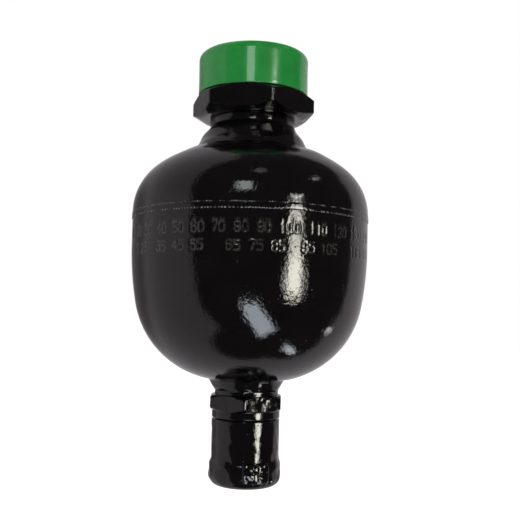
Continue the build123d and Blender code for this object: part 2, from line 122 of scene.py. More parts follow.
def outline(corners: list[Corner], closed: bool = True) -> Array:
    """Points of an outline, with soft corners turned to arcs and long runs divided.

    A soft corner is the arc of that radius tangent to both runs: its centre lies on the
    half-angle line, at soft / sin(half angle) from the corner.

    Args:
        corners: Corners in order, with the outside of the piece on the right.
        closed: Whether the last corner joins the first.

    Returns:
        Array of (radius, level) rows.
    """
    points = np.array([(c.radius, c.level) for c in corners])
    count = len(corners)
    bends: list[Array] = []
    for i, corner in enumerate(corners):
        here = points[i]
        inner = closed or 0 < i < count - 1
        if corner.soft <= 0 or not inner:
            bends.append(here[None])
            continue
        back = points[i - 1] - here
        ahead = points[(i + 1) % count] - here
        back = back / np.linalg.norm(back)
        ahead = ahead / np.linalg.norm(ahead)
        half = np.arccos(np.clip(back @ ahead, -1, 1)) / 2
        middle = (back + ahead) / np.linalg.norm(back + ahead)
        centre = here + middle * corner.soft / sin(half)
        first = here + back * corner.soft / tan(half) - centre
        last = here + ahead * corner.soft / tan(half) - centre
        turn = pi - 2 * half
        share = np.linspace(0, 1, max(3, ceil(turn / ARC_CUT) + 1))[:, None]
        swept = first * np.sin((1 - share) * turn) + last * np.sin(share * turn)
        bends.append(centre + swept / sin(turn))
    rows: list[Array] = []
    for i, bend in enumerate(bends):
        rows.append(bend)
        if closed or i < count - 1:
            run = bends[(i + 1) % count][0] - bend[-1]
            cuts = ceil(float(np.linalg.norm(run)) / corners[i].step)
            if cuts > 1:
                rows.append(bend[-1] + run * (np.arange(1, cuts) / cuts)[:, None])
    return np.vstack(rows)


def outward(points: Array) -> Array:
    """Unit normals: the chord between a point's neighbours, turned a quarter to the right."""
    chord = np.roll(points, -1, axis=0) - np.roll(points, 1, axis=0)
    normal = np.column_stack((chord[:, 1], -chord[:, 0]))
    return normal / np.maximum(np.linalg.norm(normal, axis=1), 1e-9)[:, None]


def even_turn(columns: int, start: float = 0.0) -> Array:
    """Angles evenly round the axis in radians, from a start in degrees."""
    return radians(start) + np.arange(columns) * 2 * pi / columns


def uneven(
    angles: Array, levels: Array, radius: float, wave: float, seed: int, count: int = 22
) -> Array:
    """Smooth unevenness of about -1 to 1: the sum of cosines with random lean, length and phase.

    Each has a whole number of waves round the axis, so that the surface closes.

    Args:
        angles: Angles round the axis, one per column.
        levels: Levels in mm, one per row.
        radius: Radius at which wave is measured.
        wave: Middle wavelength, in mm.
        seed: Seed of the random numbers.
        count: Number of cosines.

    Returns:
        Array of rows by columns.
    """
    chance = np.random.default_rng(seed)
    lean = chance.uniform(0, pi, count)
    length = wave * chance.uniform(0.65, 1.7, count)
    around = np.round(2 * pi * radius / length * np.cos(lean))
    along = 2 * pi / length * np.sin(lean)
    phase = chance.uniform(0, 2 * pi, count)
    swing = angles[None, :, None] * around + levels[:, None, None] * along + phase
    return np.cos(swing).sum(axis=-1) / np.sqrt(count / 2)


def between(levels: Array, low: float, high: float, fade: float) -> Array:
    """One inside a band of levels and nought outside it, with a smooth fade at both ends."""
    rise = np.clip((levels - low) / fade + 0.5, 0, 1)
    fall = np.clip((high - levels) / fade + 0.5, 0, 1)
    share = np.minimum(rise, fall)
    return share * share * (3 - 2 * share)


def thread_cut(angles: Array, levels: Array, pitch: float, depth: float) -> Array:
    """Depth of a right-hand V thread: level less the turn's climb, folded to a blunt zigzag."""
    phase = (levels[:, None] - pitch * angles[None, :] / (2 * pi)) / pitch
    zigzag = np.abs(2 * (phase - np.floor(phase)) - 1)
    return depth * np.clip(1.15 * zigzag - 0.08, 0, 1)


def hexagon_radius(angles: Array, flats: float, turn: float, sharpness: float = 90.0) -> Array:
    """Radius of a hexagon with slightly rounded corners.

    The flat's half width divided by the p-norm of the cosines to the six flats; a larger p is sharper.

    Args:
        angles: Angles round the axis, in radians.
        flats: Width across the flats, in mm.
        turn: Direction of one corner, in degrees.
        sharpness: The power p.

    Returns:
        One radius per angle, in mm.
    """
    faces = radians(turn + 30) + np.arange(6) * pi / 3
    lean = np.maximum(np.cos(angles[:, None] - faces), 0)
    return flats / 2 / (lean**sharpness).sum(axis=1) ** (1 / sharpness)


def blunt_min(first: Array, second: Array, width: float) -> Array:
    """Smaller of two radii, its edge rounded: minus width times the log of summed exponentials."""
    least = np.minimum(first, second)
    return least - width * np.log(np.exp((least - first) / width) + np.exp((least - second) / width))


def turned_mesh(name: str, radius: Array, level: Array, angles: Array, closed: bool) -> bpy.types.Mesh:
    """Mesh of a surface given by radius and level over rows of an outline and columns round the axis.

    A point is (radius cos a, radius sin a, level). Where an open outline starts and ends on the
    axis, each end row is one vertex with a fan of triangles.

    Args:
        name: Mesh name.
        radius: Radii in mm, rows by columns.
        level: Levels in mm, rows by columns.
        angles: Angle of each column, in radians.
        closed: Whether the last row joins the first.

    Returns:
        The mesh, with its faces outwards and its sharp edges marked.
    """
    rows, columns = radius.shape
    points = np.stack((radius * np.cos(angles), radius * np.sin(angles), level), axis=-1) * MM
    index = np.arange(rows * columns).reshape(rows, columns)
    if closed:
        lower, upper = index, np.roll(index, -1, axis=0)
    else:
        lower, upper = index[1:-2], index[2:-1]
    around = (lower, np.roll(lower, -1, axis=1), np.roll(upper, -1, axis=1), upper)
    quads = np.stack(around, axis=-1).reshape(-1, 4)
    vertices = points.reshape(-1, 3)
    corners = vertices[quads]
    volume = np.einsum("ij,ij->", corners[:, 0], np.cross(corners[:, 1], corners[:, 2]))
    volume += np.einsum("ij,ij->", corners[:, 0], np.cross(corners[:, 2], corners[:, 3]))
    flip = -1 if volume < 0 else 1
    faces: list[list[int]] = quads[:, ::flip].tolist()
    if not closed:
        first, second, last, final = index[0, 0], index[1], index[-2], index[-1, 0]
        start_fan = np.stack((np.full(columns, first), np.roll(second, -1), second), axis=-1)
        end_fan = np.stack((np.full(columns, final), last, np.roll(last, -1)), axis=-1)
        faces += start_fan[:, ::flip].tolist() + end_fan[:, ::flip].tolist()
    mesh = bpy.data.meshes.new(name)
    mesh.from_pydata(vertices.tolist(), [], faces)
    if not closed:
        drop_loose(mesh)
    mesh.polygons.foreach_set("use_smooth", np.ones(len(mesh.polygons), bool))
    mesh.set_sharp_from_angle(angle=SHARP_EDGE)
    mesh.update()
    return mesh


def drop_loose(mesh: bpy.types.Mesh) -> None:
    """Remove the vertices that no face uses."""
    work = bmesh.new()
    work.from_mesh(mesh)
    bmesh.ops.delete(work, geom=[v for v in work.verts if not v.link_faces], context="VERTS")
    work.to_mesh(mesh)
    work.free()


@dataclass
class Turning:
    """A turned piece in the making: an outline's points, spread over columns round the axis."""

    corners: list[Corner]
    angles: Array
    closed: bool = True

    def __post_init__(self) -> None:
        """Work out the points, the next points, the normals and the first radii and levels."""
        points = outline(self.corners, self.closed)
        self.r, self.z = points.T
        self.next_r, self.next_z = np.roll(points, -1, axis=0).T
        self.normal = outward(points)
        columns = len(self.angles)
        self.radius, self.level = (np.repeat(side[:, None], columns, axis=1) for side in (self.r, self.z))

    def band(self, low: float, high: float, fade: float) -> Array:
        """Share of each row inside a band of levels, as a column."""
        return between(self.z, low, high, fade)[:, None]

    def uneven(self, radius: float, wave: float, seed: int, count: int = 22, stretch: float = 1.0) -> Array:
        """Unevenness over the surface, with its levels stretched."""
        return uneven(self.angles, self.z * stretch, radius, wave, seed, count)

    def swell(self, height: Array) -> None:
        """Move the surface along its outline's normals by a height in mm."""
        self.radius += self.normal[:, :1] * height
        self.level += self.normal[:, 1:] * height

    def thread(
        self, at: float, levels: tuple[float, float], pitch: float, depth: float, fade: float, reach: float
    ) -> None:
        """Cut a thread into rows.

        Args:
            at: Radius of the rows, in mm.
            levels: Lowest and highest level of the thread, in mm.
            pitch: Climb in one turn, in mm.
            depth: Depth of the cut, in mm; negative into a bore.
            fade: Length over which the thread runs out, in mm.
            reach: How far from the radius a row may be, in mm.
        """
        rows = self.band(*levels, fade) * (np.abs(self.r - at) < reach)[:, None]
        self.radius -= rows * thread_cut(self.angles, self.z, pitch, depth)

    def hexagon(self, rows: Array, six: Array, cone: Array, edge: float, skin: Array, limit: Array) -> None:
        """Cut rows to a hexagon inside a cone.

        Args:
            rows: Mask of the rows.
            six: Radius of the hexagon, one per column.
            cone: Radius of the cone, one per row.
            edge: Width of the blunted edge where they meet.
            skin: Unevenness added to both.
            limit: Radius that nothing passes, one per column.
        """
        shape = blunt_min(six, cone[:, None], edge) + skin
        self.radius[rows] = np.minimum(shape, limit)[rows]

    def piece(
        self, name: str, body: Body, slot: Slot, nodes: tuple[str, ...], *materials: Material,
        bare: Array | None = None, painted_sheen: Array | None = None,
    ) -> Piece:
        """Make the mesh and put it into the scene as a piece.

        Args:
            name: Name of the piece.
            body: Body that it rides on.
            slot: Finish slot of the record; not used.
            nodes: Solids that it stands for.
            materials: Its finish, and the finish of its bare runs.
            bare: Mask of the runs, from each row to the next, that have the second finish.
            painted_sheen: How far each point's paint is lightened as a painted highlight.

        Returns:
            The new object.
        """
        mesh = turned_mesh(name, self.radius, self.level, self.angles, self.closed)
        for material in materials:
            mesh.materials.append(material)
        if bare is not None:
            last = len(bare) - 2
            runs = np.arange(len(bare)) if self.closed else np.r_[1:last, 0, last]
            second = np.repeat(bare[runs].astype(np.int32), len(self.angles))
            mesh.polygons.foreach_set("material_index", second)
        # Store the painted-highlight share as a point attribute for the finish to lighten.
        if painted_sheen is not None:
            values = painted_sheen.ravel().astype(np.float32)
            mesh.attributes.new("painted_glint", "FLOAT", "POINT").data.foreach_set("value", values)
        piece = bpy.data.objects.new(mesh.name, mesh)
        bpy.context.scene.collection.objects.link(piece)
        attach(piece, body.value)
        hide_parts(*nodes)
        LOG.info("%s: %d faces on %s", piece.name, len(mesh.polygons), body.value)
        return piece


# ---- shader helpers
class Nodes:
    """Short calls for filling a node tree."""

    def __init__(self, tree: Tree) -> None:
        """Keep the tree and empty it."""
        self.tree = tree
        tree.nodes.clear()

    def feed(self, socket: Socket, value: object) -> None:
        """Join an input to a socket, or give it a plain value."""
        if isinstance(value, Socket):
            self.tree.links.new(value, socket)
        else:
            socket.default_value = value

    def add(self, kind: str, given: dict | None = None, **settings: object) -> bpy.types.Node:
        """Add a node, set its properties and feed its inputs."""
        node = self.tree.nodes.new(kind)
        for key, value in settings.items():
            setattr(node, key, value)
        for key, value in (given or {}).items():
            self.feed(node.inputs[key], value)
        return node

    def math(self, operation: str, *values: object, clamp: bool = False) -> Socket:
        """Add a Math node on sockets or numbers and give its output."""
        given = dict(enumerate(values))
        return self.add("ShaderNodeMath", given, operation=operation, use_clamp=clamp).outputs[0]

    def noise(self, vector: Socket, scale: object, detail: float = 2.0) -> Socket:
        """Add a Noise Texture on a vector and give its Fac."""
        given = {"Vector": vector, "Scale": scale, "Detail": detail}
        return self.add("ShaderNodeTexNoise", given).outputs["Fac"]

    def bump(self, height: Socket) -> Socket:
        """Normal of the surface raised by a height in metres."""
        given = {"Strength": 1.0, "Distance": 1.0, "Height": height}
        return self.add("ShaderNodeBump", given).outputs["Normal"]

    def add_mix(self, given: dict) -> Socket:
        """Mix two colours, A and B, by a Factor."""
        return self.add("ShaderNodeMix", given, data_type="RGBA").outputs["Result"]

    def background(self, strength: object, colour: Colour = (1, 1, 1)) -> Socket:
        """Add a Background and give its output."""
        return self.add("ShaderNodeBackground", {"Strength": strength, "Color": (*colour, 1.0)}).outputs[0]

    def mix_shader(self, share: object, first: object, second: object) -> Socket:
        """Mix two shaders by a share and give the output."""
        return self.add("ShaderNodeMixShader", {0: share, 1: first, 2: second}).outputs[0]

    def where(self) -> Socket:
        """Object coordinates."""
        return self.add("ShaderNodeTexCoord").outputs["Object"]


def effect_group(name: str, inputs: dict[str, float], outputs: dict[str, str]) -> tuple[Nodes, dict, dict]:
    """Start a shader node group with number inputs and named outputs.

    Args:
        name: Name of the group.
        inputs: Input names and their default values.
        outputs: Output names and their socket types.

    Returns:
        The node helper, the input sockets and the output sockets.
    """
    tree = bpy.data.node_groups.new(name, "ShaderNodeTree")
    for key, value in inputs.items():
        socket = tree.interface.new_socket(key, in_out="INPUT", socket_type="NodeSocketFloat")
        socket.default_value = value
    for key, kind in outputs.items():
        tree.interface.new_socket(key, in_out="OUTPUT", socket_type=kind)
    nodes = Nodes(tree)
    start = nodes.add("NodeGroupInput")
    end = nodes.add("NodeGroupOutput")
    return nodes, {key: start.outputs[key] for key in inputs}, {key: end.inputs[key] for key in outputs}


def sprayed_skin_group() -> Tree:
    """Group for the skin of sprayed paint: three sizes of ripple and scattered specks, as a normal."""
    nodes, given, out = effect_group(
        "sprayed_skin",
        {"Waves per metre": 260.0, "Height": 0.00008, "Fine share": 0.3, "Speck height": 0.00004},
        {"Normal": "NodeSocketVector"},
    )
    where = nodes.where()
    broad = nodes.noise(where, given["Waves per metre"], 1.0)
    middle = nodes.noise(where, nodes.math("MULTIPLY", given["Waves per metre"], 2.7), 1.0)
    fine = nodes.noise(where, nodes.math("MULTIPLY", given["Waves per metre"], 6.1), 1.0)
    ripple = nodes.math("MULTIPLY_ADD", fine, 0.35, nodes.math("MULTIPLY", middle, 0.65))
    ripple = nodes.math("MULTIPLY_ADD", ripple, given["Fine share"], nodes.math(
        "MULTIPLY", broad, nodes.math("SUBTRACT", 1.0, given["Fine share"])
    ))
    cells = nodes.add("ShaderNodeTexVoronoi", {"Vector": where, "Scale": 420.0}, feature="F1")
    dot = nodes.math("MULTIPLY_ADD", cells.outputs["Distance"], -8.0, 1.3, clamp=True)
    chosen = nodes.math("GREATER_THAN", nodes.noise(where, 160.0, 2.0), 0.60)
    speck = nodes.math("MULTIPLY", dot, chosen)
    height = nodes.math(
        "MULTIPLY_ADD", speck, given["Speck height"], nodes.math("MULTIPLY", ripple, given["Height"])
    )
    nodes.feed(out["Normal"], nodes.bump(height))
    return nodes.tree


def mottle_group() -> Tree:
    """Group for slow variation between two values, as from handling and dust."""
    nodes, given, out = effect_group(
        "mottle", {"Scale": 60.0, "Low": 0.0, "High": 1.0}, {"Value": "NodeSocketFloat"}
    )
    where = nodes.where()
    blotch = nodes.noise(where, given["Scale"], 5.0)
    share = nodes.math("MULTIPLY_ADD", blotch, 2.6, -0.8, clamp=True)
    span = nodes.math("SUBTRACT", given["High"], given["Low"])
    nodes.feed(out["Value"], nodes.math("MULTIPLY_ADD", span, share, given["Low"]))
    return nodes.tree


def painted_glint_group() -> Tree:
    """Group for painted highlights: the piece's own attribute, broken up by a fine grain, where the paint is
    lightened to stand in for glints.
    """
    nodes, given, out = effect_group(
        "painted_glint", {"Grains per metre": 1400.0}, {"Mask": "NodeSocketFloat"}
    )
    mark = nodes.add("ShaderNodeAttribute", attribute_name="painted_glint").outputs["Fac"]
    grain = nodes.noise(nodes.where(), given["Grains per metre"], 1.0)
    grain = nodes.math("MULTIPLY_ADD", grain, 3.4, -1.1, clamp=True)
    nodes.feed(out["Mask"], nodes.math("MULTIPLY", mark, grain))
    return nodes.tree


def tool_mark_group() -> Tree:
    """Group for the fine rings a lathe tool leaves, as a normal: noise stretched round the Z axis."""
    nodes, given, out = effect_group(
        "tool_marks", {"Rings per metre": 5200.0, "Height": 0.000004}, {"Normal": "NodeSocketVector"}
    )
    where = nodes.where()
    x, y, z = nodes.add("ShaderNodeSeparateXYZ", {0: where}).outputs
    flat = nodes.math("SQRT", nodes.math("ADD", nodes.math("MULTIPLY", x, x), nodes.math("MULTIPLY", y, y)))
    out_from_axis, along = (nodes.math("MULTIPLY", side, given["Rings per metre"]) for side in (flat, z))
    joined = nodes.add("ShaderNodeCombineXYZ", {"X": out_from_axis, "Z": along})
    ring = nodes.noise(joined.outputs[0], 1.0, 2.0)
    nodes.feed(out["Normal"], nodes.bump(nodes.math("MULTIPLY", ring, given["Height"])))
    return nodes.tree


@dataclass
class Effects:
    """The shared node groups, built once."""

    sprayed_skin: Tree = field(default_factory=sprayed_skin_group)
    painted_glint: Tree = field(default_factory=painted_glint_group)
    mottle: Tree = field(default_factory=mottle_group)
    tool_marks: Tree = field(default_factory=tool_mark_group)


@dataclass(frozen=True)
class Finish:
    """A surface finish with plain values on its shader and mottled roughness and colour."""

    name: str
    dark: Colour
    light: Colour
    rough: tuple[float, float]
    mottle_scale: float = 60.0
    metallic: float = 0.0
    specular: float = 0.5
    coat: float = 0.0
    skin: tuple[float, float, float, float] | None = None
    rings: tuple[float, float] | None = None
    # Pale grey painted in as a highlight wherever a piece's attribute asks for it.
    painted_sheen: Colour | None = None

    def material(self, effects: Effects) -> Material:
        """Build the material.

        Args:
            effects: The shared node groups.

        Returns:
            The new material.
        """
        material = bpy.data.materials.new(self.name)
        material.use_nodes = True
        nodes = Nodes(material.node_tree)
        given = {"Scale": self.mottle_scale, "Low": self.rough[0], "High": self.rough[1]}
        roughness = nodes.add("ShaderNodeGroup", given, node_tree=effects.mottle).outputs["Value"]
        blotch = nodes.add("ShaderNodeGroup", {"Scale": self.mottle_scale * 1.7}, node_tree=effects.mottle)
        mix = {"A": (*self.dark, 1.0), "B": (*self.light, 1.0), "Factor": blotch.outputs["Value"]}
        colour = nodes.add_mix(mix)
        # Painted highlight: where the piece's attribute is set, the colour is lightened towards a pale grey that
        # stands in for glints, and the roughness rises.
        if self.painted_sheen:
            painted_glint = nodes.add("ShaderNodeGroup", node_tree=effects.painted_glint).outputs["Mask"]
            colour = nodes.add_mix({"Factor": painted_glint, "A": colour, "B": (*self.painted_sheen, 1.0)})
            roughness = nodes.math("MULTIPLY_ADD", painted_glint, 0.3, roughness)
        shader = nodes.add("ShaderNodeBsdfPrincipled", {
            "Base Color": colour, "Roughness": roughness, "Metallic": self.metallic,
            "Specular IOR Level": self.specular, "Coat Weight": self.coat, "Coat Roughness": 0.05,
        })
        if self.skin:
            keys = ("Waves per metre", "Height", "Fine share", "Speck height")
            relief = nodes.add("ShaderNodeGroup", dict(zip(keys, self.skin)), node_tree=effects.sprayed_skin)
            nodes.feed(shader.inputs["Normal"], relief.outputs["Normal"])
        elif self.rings:
            keys = ("Rings per metre", "Height")
            relief = nodes.add("ShaderNodeGroup", dict(zip(keys, self.rings)), node_tree=effects.tool_marks)
            nodes.feed(shader.inputs["Normal"], relief.outputs["Normal"])
        nodes.add("ShaderNodeOutputMaterial", {"Surface": shader.outputs["BSDF"]})
        return material


@dataclass(frozen=True)
class Finishes:
    """Every finish of the accumulator."""

    paint: Material
    green: Material
    rubber: Material
    steel: Material
    spring: Material
    brass: Material


def make_finishes(effects: Effects) -> Finishes:
    """Build the six finishes on the shared groups."""
    return Finishes(
        paint=Finish(
            "black_gloss_paint", (0.0022, 0.0018, 0.0019), (0.0034, 0.0027, 0.0029), (0.03, 0.07),
            # The pale grey is a painted highlight on stamped strokes and weld ripples.
            mottle_scale=45.0, skin=(300.0, 0.00012, 0.6, 0.00007), painted_sheen=(0.24, 0.235, 0.22),
        ).material(effects),
        green=Finish(
            "green_moulded_plastic", (0.007, 0.186, 0.029), (0.012, 0.222, 0.037), (0.20, 0.26),
            mottle_scale=110.0, specular=0.35, coat=0.5, skin=(150.0, 0.000025, 0.5, 0.00003),
        ).material(effects),
        rubber=Finish(
            "nitrile_rubber", (0.010, 0.010, 0.011), (0.018, 0.018, 0.019), (0.55, 0.75),
            mottle_scale=160.0, specular=0.35, skin=(900.0, 0.000008, 0.3, 0.0),
        ).material(effects),
        steel=Finish(
            "turned_steel", (0.36, 0.35, 0.34), (0.50, 0.49, 0.475), (0.24, 0.40),
            mottle_scale=70.0, metallic=1.0, rings=(5200.0, 0.000003),
        ).material(effects),
        spring=Finish(
            "drawn_spring_wire", (0.26, 0.255, 0.25), (0.42, 0.41, 0.40), (0.22, 0.34),
            mottle_scale=300.0, metallic=1.0,
        ).material(effects),
        brass=Finish(
            "turned_brass", (0.62, 0.44, 0.17), (0.75, 0.55, 0.24), (0.20, 0.34),
            mottle_scale=220.0, metallic=1.0, rings=(7000.0, 0.000003),
        ).material(effects),
    )


# ---- stamped figures
STROKES: dict[str, list[list[tuple[float, float]]]] = {
    "0": [[(1, 0), (3, 0), (4, 1), (4, 5), (3, 6), (1, 6), (0, 5), (0, 1), (1, 0)]],
    "1": [[(1, 5), (2, 6), (2, 0)]],
    "2": [[(0, 5), (1, 6), (3, 6), (4, 5), (4, 4), (0, 0), (4, 0)]],
    "3": [[(0, 6), (4, 6), (2, 3.6), (3, 3.6), (4, 2.6), (4, 1), (3, 0), (1, 0), (0, 1)]],
    "4": [[(3, 0), (3, 6), (0, 2), (4, 2)]],
    "5": [[(4, 6), (0, 6), (0, 3.6), (3, 3.6), (4, 2.6), (4, 1), (3, 0), (0, 0)]],
    "6": [[(4, 5), (3, 6), (1, 6), (0, 5), (0, 1), (1, 0), (3, 0), (4, 1), (4, 2.5), (3, 3.4), (0, 3.4)]],
    "7": [[(0, 6), (4, 6), (1.5, 0)]],
    "8": [[(1, 3.2), (0, 4), (0, 5), (1, 6), (3, 6), (4, 5), (4, 4), (3, 3.2), (1, 3.2), (0, 2.2), (0, 1)],
          [(0, 1), (1, 0), (3, 0), (4, 1), (4, 2.2), (3, 3.2)]],
    "9": [[(0, 1), (1, 0), (3, 0), (4, 1), (4, 5), (3, 6), (1, 6), (0, 5), (0, 3.5), (1, 2.6), (4, 2.6)]],
}


@dataclass(frozen=True)
class Stamping:
    """Plain counting figures stamped round the front of the belt."""

    rows: tuple[tuple[str, float, int], ...] = (
        ("10 20 30 40 50 60 70 80 90 100 110 120 130 140", -2.7, 3),
        ("5 15 25  35 45 55   65 75 85  95 105   115 125", -10.1, 17),
    )
    figure_height: float = 4.0
    figure_width: float = 2.2
    pitch: float = 3.1
    stroke: float = 0.34
    depth: float = 0.24
    # Strength of the painted highlight: the stamped strokes are lightened towards a pale grey.
    painted_glint: float = 0.25

    def share(self, angles: Array, levels: Array, radius: float) -> Array:
        """Share of the full depth: exp(-(distance to the nearest stroke / stroke width) squared).

        Args:
            angles: Angles round the axis, in radians.
            levels: Level of each row, in mm.
            radius: Radius of the stamped face, in mm.

        Returns:
            Shares from nought to one, rows by columns.
        """
        along = radius * ((angles + pi / 2 + pi) % (2 * pi) - pi)
        cut = np.zeros((len(levels), len(angles)))
        for text, base, seed in self.rows:
            chance = np.random.default_rng(seed)
            left = -self.pitch * len(text) / 2
            for place_number, figure in enumerate(text):
                if figure == " ":
                    continue
                shift, lift = chance.uniform(-0.15, 0.15, 2)
                force = chance.uniform(0.6, 1.0)
                x0 = left + self.pitch * place_number + shift
                columns = np.flatnonzero((along > x0 - 1.5) & (along < x0 + self.figure_width + 1.5))
                rows = np.flatnonzero((levels > base - 1.5) & (levels < base + self.figure_height + 1.5))
                if not len(columns) or not len(rows):
                    continue
                x = (along[columns] - x0)[None, :]
                z = (levels[rows] - base - lift)[:, None]
                near = np.full((len(rows), len(columns)), 9.0)
                for line in STROKES[figure]:
                    ends = np.array(line) * (self.figure_width / 4, self.figure_height / 6)
                    for (ax, az), (bx, bz) in zip(ends[:-1], ends[1:]):
                        dx, dz = bx - ax, bz - az
                        t = np.clip(((x - ax) * dx + (z - az) * dz) / (dx * dx + dz * dz), 0, 1)
                        near = np.minimum(near, np.hypot(x - ax - t * dx, z - az - t * dz))
                mark = force * np.exp(-((near / self.stroke) ** 2))
                window = np.ix_(rows, columns)
                cut[window] = np.maximum(cut[window], mark)
        return cut


# ---- vessel
@dataclass
class Vessel:
    """The two pressed cups and the seam between them."""

    finishes: Finishes
    radius: float = 54.0
    wall: float = 5.0
    belt_low: float = -6.5
    weld_low: float = 6.5
    weld_high: float = 9.7
    weld_crown: float = 0.3
    knuckle_level: float = 10.0
    knuckle_radius: float = 26.0
    knuckle_angle: float = 51.0
    crown_radius: float = 50.0
    barrel_radius: float = 138.0
    barrel_angle: float = 10.4
    bottom_radius: float = 42.0
    flare_radius: float = 26.9
    neck_radius: float = 19.5
    flare_height: float = 11.3
    neck_bore: float = 15.05
    lower_flare_radius: float = 17.5
    lower_neck_radius: float = 14.6
    lower_flare_height: float = 5.0
    lower_neck_height: float = 2.0
    lower_bore: float = 11.3
    foot_seat: float = -60.11
    stamped_low: float = -13.6
    stamped_step: float = 0.33
    front_reach: float = 1.5
    upper_runs: tuple[tuple[float, ...], ...] = ((0.16, 24.0, 11, 22, 3.2), (0.06, 11.0, 12, 22, 1.4))
    lower_runs: tuple[tuple[float, ...], ...] = ((0.10, 16.0, 21, 22, 3.0), (0.04, 6.0, 22, 22, 1.3))
    seam_rows: int = 33
    toes: tuple[tuple[float, int, int], ...] = ((-0.80, 226, 31), (0.86, 340, 37))
    toe_width: float = 0.20
    ripple_height: float = 0.22
    stamping: Stamping = field(default_factory=Stamping)

    def __post_init__(self) -> None:
        """Work out the arcs' centres, as in the solids."""
        reach = self.crown_radius - self.knuckle_radius
        self.crown_r = self.radius - self.knuckle_radius - reach * cos(radians(self.knuckle_angle))
        self.crown_level = self.knuckle_level - reach * sin(radians(self.knuckle_angle))
        self.barrel_r = self.radius - self.barrel_radius
        lean = radians(self.barrel_angle)
        self.bottom_r = self.barrel_r + (self.barrel_radius - self.bottom_radius) * cos(lean)
        self.bottom_level = self.belt_low - (self.barrel_radius - self.bottom_radius) * sin(lean)

    def crown_at(self, radius: float, inset: float = 0.0) -> float:
        """Level of the short cup's crown at a radius."""
        return self.crown_level + ((self.crown_radius - inset) ** 2 - (radius - self.crown_r) ** 2) ** 0.5

    def bottom_at(self, radius: float, inset: float = 0.0) -> float:
        """Level of the long cup's bottom at a radius."""
        return self.bottom_level - ((self.bottom_radius - inset) ** 2 - (radius - self.bottom_r) ** 2) ** 0.5

    def upper_cup(self) -> Piece:
        """Short cup: turned outline with thick paint that has run and pooled round its neck."""
        knuckle = (self.radius - self.knuckle_radius, self.knuckle_level)
        flare = self.crown_at(self.flare_radius)
        neck = flare + self.flare_height
        face = ends("upper_shell")[1]
        crown = (self.crown_r, self.crown_level)
        outer_end = np.degrees(np.arccos((self.flare_radius - self.crown_r) / self.crown_radius))
        inner_end = np.degrees(np.arccos((self.neck_bore - self.crown_r) / (self.crown_radius - self.wall)))
        corners = [Corner(self.radius, self.weld_high, step=1.1)]
        corners += arc(knuckle, self.knuckle_radius, 0, self.knuckle_angle, 1.0)
        corners += arc(crown, self.crown_radius, self.knuckle_angle, outer_end, 0.8)[1:-1]
        corners += [
            Corner(self.flare_radius, flare, 2.5, 0.35),
            Corner(self.neck_radius, neck, 1.5, 0.35),
            Corner(self.neck_radius, face, 0.3),
            Corner(self.neck_bore + 2.2, face),
            Corner(self.neck_bore, face - 2.2),
        ]
        corners += arc(crown, self.crown_radius - self.wall, inner_end, self.knuckle_angle, 4.0)
        corners += arc(knuckle, self.knuckle_radius - self.wall, self.knuckle_angle, 0, 4.0)[1:]
        corners += [Corner(self.radius - self.wall, self.weld_high)]
        cup = Turning(corners, even_turn(450))
        outer = ((cup.normal[:, 0] > 0.05) & (cup.z > self.weld_high + 0.5))[:, None]
        runs = sum(depth * cup.uneven(self.neck_radius, *wave) for depth, *wave in self.upper_runs)
        cup.swell(cup.band(flare - 4.5, face - 1.2, 5.0) * outer * runs)
        return cup.piece("upper_cup", Body.VESSEL, Slot.BLACK_PAINT, ("upper_shell",), self.finishes.paint)

    def lower_cup(self) -> Piece:
        """Long cup: turned outline with figures stamped into the belt and thick paint round its neck."""
        bottom = (self.bottom_r, self.bottom_level)
        barrel = (self.barrel_r, self.belt_low)
        flare = self.bottom_at(self.lower_flare_radius)
        neck = flare - self.lower_flare_height
        face = neck - self.lower_neck_height
        inner = self.bottom_radius - self.wall
        seat_reach = self.bottom_r + (inner**2 - (self.bottom_level - self.foot_seat) ** 2) ** 0.5
        flare_end = -np.degrees(np.arccos((self.lower_flare_radius - self.bottom_r) / self.bottom_radius))
        seat_end = -np.degrees(np.arccos((seat_reach - self.bottom_r) / inner))
        stamped_end = -np.degrees((self.belt_low - self.stamped_low) / self.barrel_radius)
        corners = [
            Corner(self.lower_bore + 1.6, face),
            Corner(self.lower_neck_radius, face, 0.2, 0.4),
            Corner(self.lower_neck_radius, neck, 1.2, 0.4),
            Corner(self.lower_flare_radius, flare, 1.25),
        ]
        corners += arc(bottom, self.bottom_radius, flare_end, -self.barrel_angle, 1.5)[1:]
        corners += arc(barrel, self.barrel_radius, -self.barrel_angle, stamped_end, 2.2)[1:]
        corners += arc(barrel, self.barrel_radius, stamped_end, 0, self.stamped_step)[1:-1]
        corners += [
            Corner(self.radius, self.belt_low, step=self.stamped_step),
            Corner(self.radius, 1.4, step=2.0),
            Corner(self.radius, self.weld_low),
            Corner(self.radius - self.wall, self.weld_low, step=6.0),
        ]
        corners += arc(barrel, self.barrel_radius - self.wall, 0, -self.barrel_angle, 6.0)
        corners += arc(bottom, inner, -self.barrel_angle, seat_end, 4.0)[1:]
        corners += [
            Corner(self.lower_bore, self.foot_seat, step=6.0),
            Corner(self.lower_bore, face + 1.6),
        ]
        left, right = -pi / 2 - self.front_reach, -pi / 2 + self.front_reach
        front = np.linspace(left, right, 421)[:-1]
        back = np.linspace(right, left + 2 * pi, 141)[:-1]
        cup = Turning(corners, np.concatenate((front, back)))
        outer = (cup.normal[:, 0] > 0.05) & (cup.r > self.lower_bore + 2)
        runs = sum(depth * cup.uneven(self.lower_neck_radius, *wave) for depth, *wave in self.lower_runs)
        belt_levels = np.where(outer & (cup.z > -20) & (cup.z < 4), cup.z, 99.0)
        stamped = self.stamping.share(cup.angles, belt_levels, self.radius)
        thick = cup.band(face + 0.8, flare + 2.0, 3.0) * outer[:, None] * runs
        cup.swell(thick - self.stamping.depth * stamped)
        paint = self.finishes.paint
        # The stamped strokes are lightened as a painted highlight.
        painted_sheen = self.stamping.painted_glint * stamped
        return cup.piece("lower_cup", Body.VESSEL, Slot.BLACK_PAINT, ("lower_shell",), paint, painted_sheen=painted_sheen)

